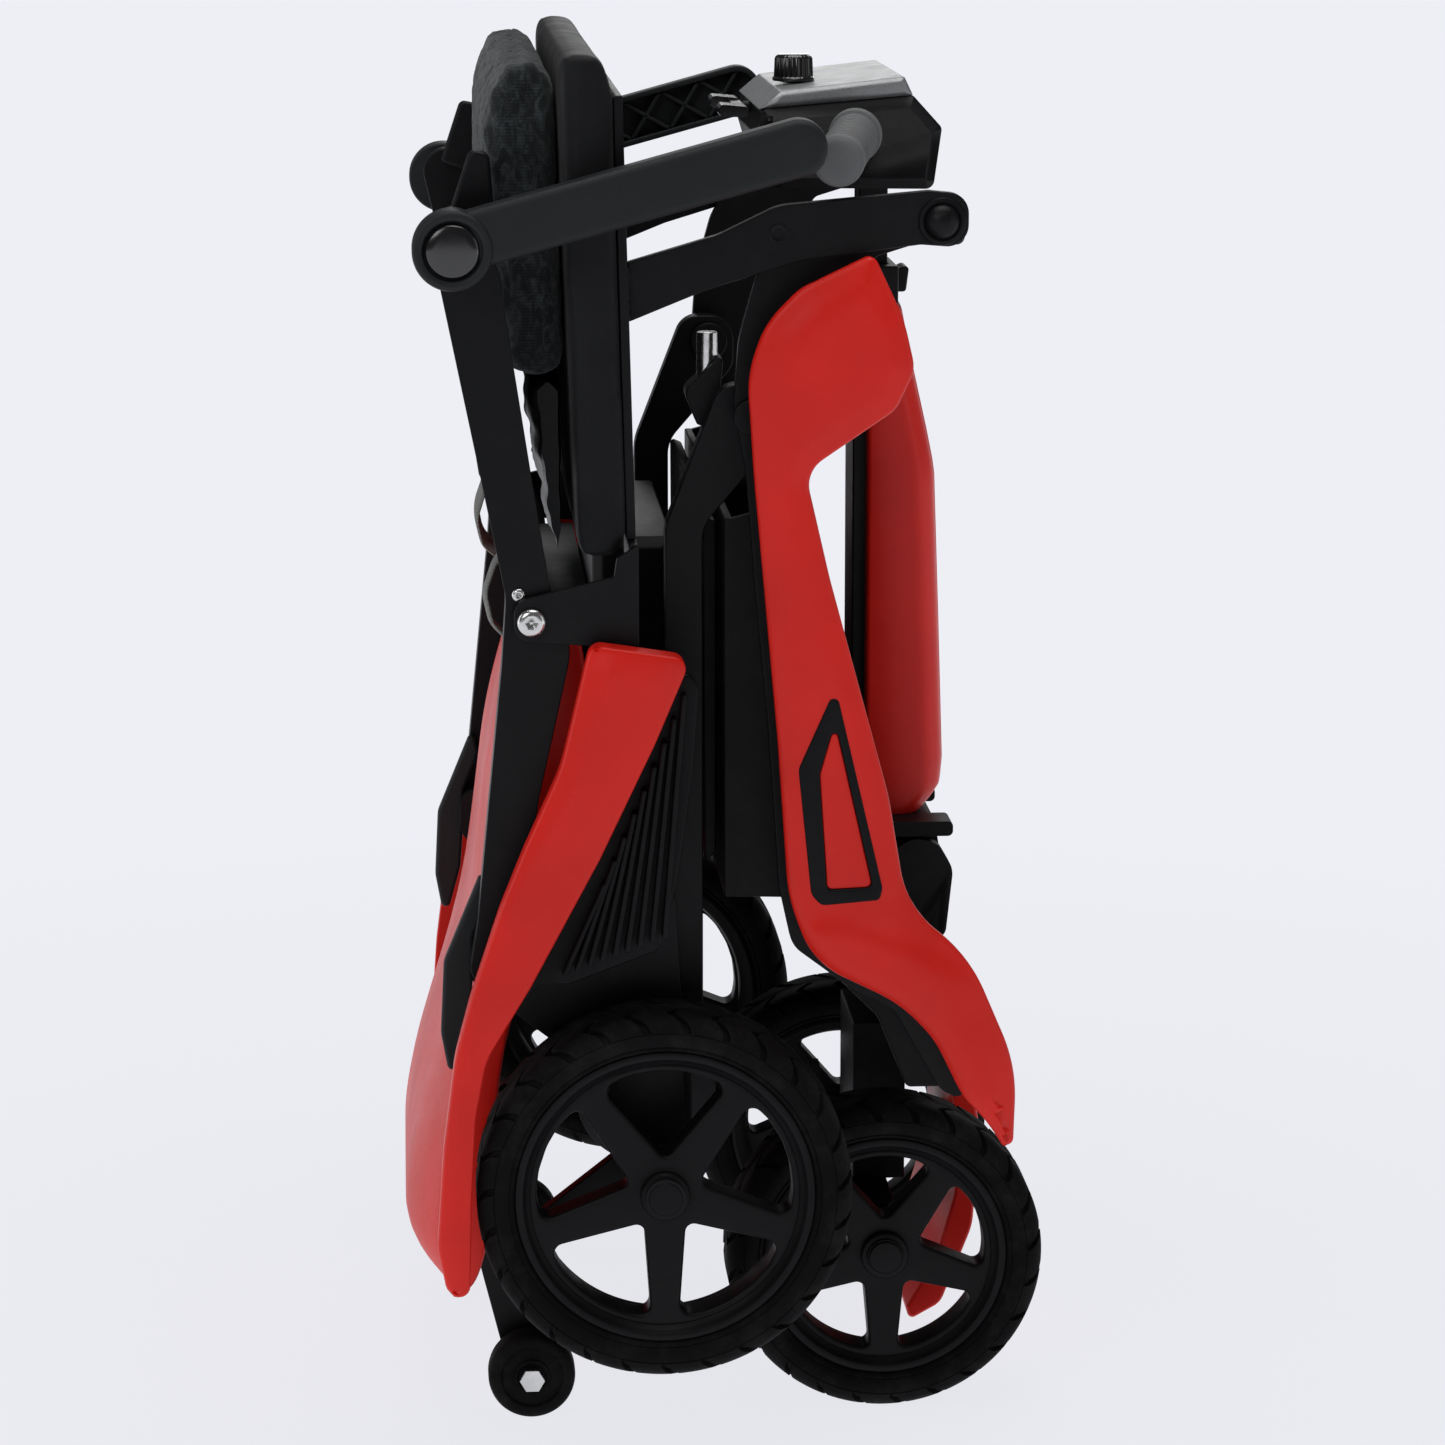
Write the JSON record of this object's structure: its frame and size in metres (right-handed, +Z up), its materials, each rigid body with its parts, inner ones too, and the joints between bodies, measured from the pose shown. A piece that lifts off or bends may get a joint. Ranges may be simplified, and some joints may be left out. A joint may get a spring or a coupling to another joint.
{
  "type": "folding mobility scooter",
  "caption": "Folding mobility scooter in its folded, upright pose: hinged frame halves, linked seat, folding tiller, swing-up armrests and trolley wheels.",
  "frame": {"origin": "centre of the bounding box's base, on the floor that the folded scooter stands on", "axes": "+Z up as it stands folded; X through the folded thickness, the rear half at -X and the front half at +X; Y across the scooter"},
  "size_m": [0.3514, 0.464, 0.75],
  "materials": {
    "red_plastic": "satin moulded",
    "black_plastic": "satin moulded",
    "charcoal_plastic": "satin moulded",
    "black_steel": "powder coat",
    "bright_steel": "polished",
    "rubber": "moulded rubber",
    "grip_rubber": "moulded rubber",
    "seat_vinyl": "smooth vinyl",
    "back_fabric": "woven",
    "strap_webbing": "webbing",
    "silver_plastic": "satin paint",
    "knob_plastic": "gloss",
    "drive_alloy": "cast"
  },
  "bodies": {
    "rear_frame": {"rear_frame": "black_steel", "rear_hardware": "bright_steel", "rear_side_plates": "black_steel", "transaxle": "drive_alloy", "battery_case": "black_plastic", "rear_floor_panel": "black_plastic", "tail_cover": "red_plastic", "tail_inserts": "charcoal_plastic", "rear_fender_left": "red_plastic", "rear_fender_right": "red_plastic", "ribbed_panel_left": "black_plastic", "ribbed_panel_right": "black_plastic", "trolley_brackets": "black_steel", "motor_lead": "rubber"},
    "front_frame": {"front_side_plates": "black_steel", "foot_deck": "black_plastic", "front_bulkhead": "black_plastic", "front_axle_beam": "black_steel", "front_bumper": "red_plastic", "front_side_cover_left": "red_plastic", "front_side_cover_right": "red_plastic", "cover_inset_frames": "black_plastic", "cover_inset_panels": "red_plastic", "tiller_base": "black_plastic"},
    "tiller_knuckle": {"tiller_knuckle": "black_plastic"},
    "tiller_column": {"tiller_column": "black_steel", "tiller_cover": "red_plastic"},
    "tiller_top": {"tiller_inner_column": "black_steel", "console_base": "black_plastic", "console_top": "silver_plastic", "grips": "grip_rubber"},
    "speed_knob": {"speed_knob": "knob_plastic"},
    "throttle": {"throttle_paddles": "black_plastic"},
    "front_knuckle_left": {"front_knuckle_left": "black_steel"},
    "front_knuckle_right": {"front_knuckle_right": "black_steel"},
    "front_wheel_left": {"front_tyre_left": "rubber", "front_rim_left": "black_plastic"},
    "front_wheel_right": {"front_tyre_right": "rubber", "front_rim_right": "black_plastic"},
    "rear_wheel_left": {"rear_tyre_left": "rubber", "rear_rim_left": "black_plastic"},
    "rear_wheel_right": {"rear_tyre_right": "rubber", "rear_rim_right": "black_plastic"},
    "trolley_wheel_left": {"trolley_wheel_left": "rubber"},
    "trolley_wheel_right": {"trolley_wheel_right": "rubber"},
    "seat_posts": {"seat_post_left": "black_steel", "seat_post_right": "black_steel", "post_cross_tubes": "black_steel", "backrest_pad": "back_fabric", "backrest_flap": "seat_vinyl", "backrest_shell": "black_plastic", "carry_strap": "strap_webbing"},
    "seat": {"seat_pad": "seat_vinyl", "seat_pan": "black_steel", "seat_brackets": "black_steel", "seat_pivot_bolts": "bright_steel", "seat_arms": "black_steel"},
    "armrest_left": {"armrest_left": "charcoal_plastic"},
    "armrest_right": {"armrest_right": "charcoal_plastic"}
  },
  "joints": [
    {"name": "front_fold", "type": "hinge", "parent": "rear_frame", "child": "front_frame", "pos_m": [0.01, 0, 0.56], "axis": [0, -1, 0], "range_deg": [0, 176]},
    {"name": "post_fold", "type": "hinge", "parent": "rear_frame", "child": "seat_posts", "pos_m": [-0.126, 0, 0.272], "axis": [0, -1, 0], "range_deg": [0, 99.31]},
    {"name": "seat_fold", "type": "hinge", "parent": "seat_posts", "child": "seat", "pos_m": [-0.106, 0, 0.458], "axis": [0, -1, 0], "range_deg": [-99.87, 0]},
    {"name": "tiller_fold", "type": "hinge", "parent": "front_frame", "child": "tiller_knuckle", "pos_m": [0.113, 0, 0.28], "axis": [0, -1, 0], "range_deg": [-75.5, 0]},
    {"name": "steering", "type": "hinge", "parent": "tiller_knuckle", "child": "tiller_column", "pos_m": [0.091, 0, 0.317], "axis": [0, 0, 1], "range_deg": [-18, 18]},
    {"name": "column_extension", "type": "slide", "parent": "tiller_column", "child": "tiller_top", "axis": [0, 0, 1], "range_m": [0, 0.2]},
    {"name": "speed_dial", "type": "hinge", "parent": "tiller_top", "child": "speed_knob", "pos_m": [0.045, -0.028, 0.735], "axis": [0, 0, -1], "range_deg": [0, 270]},
    {"name": "throttle", "type": "hinge", "parent": "tiller_top", "child": "throttle", "pos_m": [0.016, 0, 0.7085], "axis": [1, 0, 0], "range_deg": [-12, 12], "stiffness_Nm_per_rad": 0.3},
    {"name": "kingpin_left", "type": "hinge", "parent": "front_frame", "child": "front_knuckle_left", "pos_m": [0.088, -0.088, 0.0875], "axis": [1, 0, 0], "range_deg": [-16.2, 16.2]},
    {"name": "front_wheel_spin_left", "type": "hinge", "parent": "front_knuckle_left", "child": "front_wheel_left", "pos_m": [0.088, -0.125, 0.0875], "axis": [0, 1, 0], "continuous": true},
    {"name": "rear_wheel_spin_left", "type": "hinge", "parent": "rear_frame", "child": "rear_wheel_left", "pos_m": [-0.038, -0.206, 0.15], "axis": [0, 1, 0], "continuous": true},
    {"name": "trolley_wheel_spin_left", "type": "hinge", "parent": "rear_frame", "child": "trolley_wheel_left", "pos_m": [-0.1076, -0.14, 0.024], "axis": [0, 1, 0], "continuous": true},
    {"name": "armrest_swing_left", "type": "hinge", "parent": "seat_posts", "child": "armrest_left", "pos_m": [-0.145, -0.22, 0.6525], "axis": [0, -1, 0], "range_deg": [-23, 75]},
    {"name": "kingpin_right", "type": "hinge", "parent": "front_frame", "child": "front_knuckle_right", "pos_m": [0.088, 0.088, 0.0875], "axis": [1, 0, 0], "range_deg": [-16.2, 16.2]},
    {"name": "front_wheel_spin_right", "type": "hinge", "parent": "front_knuckle_right", "child": "front_wheel_right", "pos_m": [0.088, 0.125, 0.0875], "axis": [0, 1, 0], "continuous": true},
    {"name": "rear_wheel_spin_right", "type": "hinge", "parent": "rear_frame", "child": "rear_wheel_right", "pos_m": [-0.038, 0.206, 0.15], "axis": [0, 1, 0], "continuous": true},
    {"name": "trolley_wheel_spin_right", "type": "hinge", "parent": "rear_frame", "child": "trolley_wheel_right", "pos_m": [-0.1076, 0.14, 0.024], "axis": [0, 1, 0], "continuous": true},
    {"name": "armrest_swing_right", "type": "hinge", "parent": "seat_posts", "child": "armrest_right", "pos_m": [-0.145, 0.22, 0.6525], "axis": [0, -1, 0], "range_deg": [-23, 75]}
  ],
  "couplings": [
    {"joint": "post_fold", "follows": "front_fold", "ratio": 0.56142},
    {"joint": "seat_fold", "follows": "front_fold", "ratio": -0.56462},
    {"joint": "tiller_fold", "follows": "front_fold", "ratio": -0.42614},
    {"joint": "kingpin_left", "follows": "steering", "ratio": 0.85},
    {"joint": "kingpin_right", "follows": "steering", "ratio": 0.85}
  ]
}
